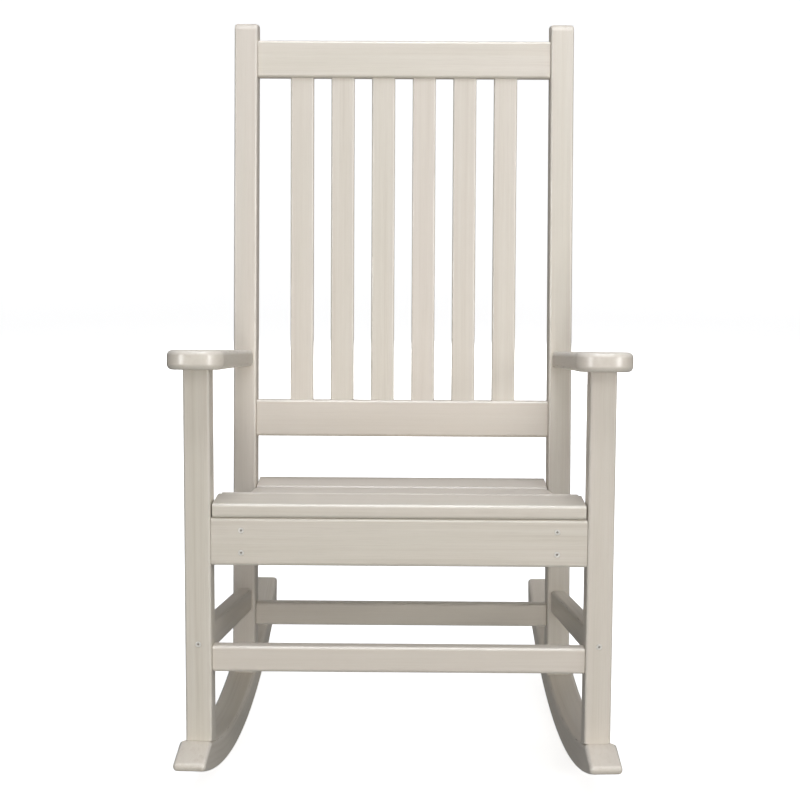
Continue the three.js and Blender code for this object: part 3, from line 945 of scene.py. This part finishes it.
def add_stage():
    """A pale round floor that turns up into a pale wall all around the chair.

    Only the camera sees it. It neither lights the chair nor shows in its surfaces.
    """
    flat, bend, steps = STAGE["flat_radius"], STAGE["bend"], STAGE["bend_steps"]
    profile = [(STAGE["hub_radius"], 0.0)]
    for i in range(steps + 1):
        angle = math.pi / 2 * i / steps
        profile.append((flat + bend * math.sin(angle), bend * (1 - math.cos(angle))))
    profile.append((flat + bend, STAGE["height"]))
    mesh = bmesh.new()
    turns = [2 * math.pi * i / STAGE["sides"] for i in range(STAGE["sides"])]
    rows = [[mesh.verts.new((r * math.cos(t), r * math.sin(t), z)) for t in turns] for r, z in profile]
    mesh.faces.new(rows[0])
    for near, far in zip(rows, rows[1:]):
        for i in range(len(turns)):
            mesh.faces.new((near[i - 1], far[i - 1], far[i], near[i]))
    data = to_data(mesh)
    data.polygons.foreach_set("use_smooth", [True] * len(data.polygons))
    data.materials.append(stage_material())
    floor = bpy.data.objects.new("floor", data)
    floor.location.z = -STAGE["drop"]
    floor.visible_diffuse = False
    floor.visible_glossy = False
    floor.visible_shadow = False
    bpy.context.collection.objects.link(floor)


def add_light(name, place, size, power, glossy=True, diffuse=True, colour=(1, 1, 1)):
    """A round soft light that faces the middle of the chair."""
    data = bpy.data.lights.new(name, "AREA")
    data.shape = "DISK"
    data.size = size
    data.energy = power
    data.color = colour
    light = bpy.data.objects.new(name, data)
    light.location = place
    light.rotation_euler = (LIT_SPOT - light.location).to_track_quat("-Z", "Y").to_euler()
    light.visible_glossy = glossy
    light.visible_diffuse = diffuse
    bpy.context.collection.objects.link(light)


def add_lights():
    """Soft lights for the faces, and small glints that show only as highlights."""
    add_light("key", (1.0, -3.4, 2.9), 1.4, 23)
    add_light("fill", (0.2, -4.4, 0.9), 1.4, 34, glossy=False)
    add_light("low_fill", (0.1, -4.4, 0.2), 0.8, 35, glossy=False)
    add_light("side", (3.4, -2.0, 1.8), 0.9, 24)
    add_light("top", (0, -0.8, 3.5), 1.4, 56, colour=(0.94, 0.97, 1.06))
    add_light("back", (0, 4.0, 1.3), 2.2, 55, glossy=False)
    add_light("glint", (0, -2.4, 3.5), 0.5, 45, diffuse=False)
    for word, side in SIDES.items():
        add_light(f"glint_{word}", (side * 2.5, -3.0, 1.2), 0.4, 90, diffuse=False)


def add_room():
    """Even white light from all round."""
    world = bpy.data.worlds.new("room")
    world.use_nodes = True
    background = world.node_tree.nodes["Background"]
    background.inputs["Color"].default_value = (1, 1, 1, 1)
    background.inputs["Strength"].default_value = ROOM_LIGHT
    bpy.context.scene.world = world
    bpy.context.scene.view_settings.view_transform = "Standard"


add_stage()
add_lights()
add_room()
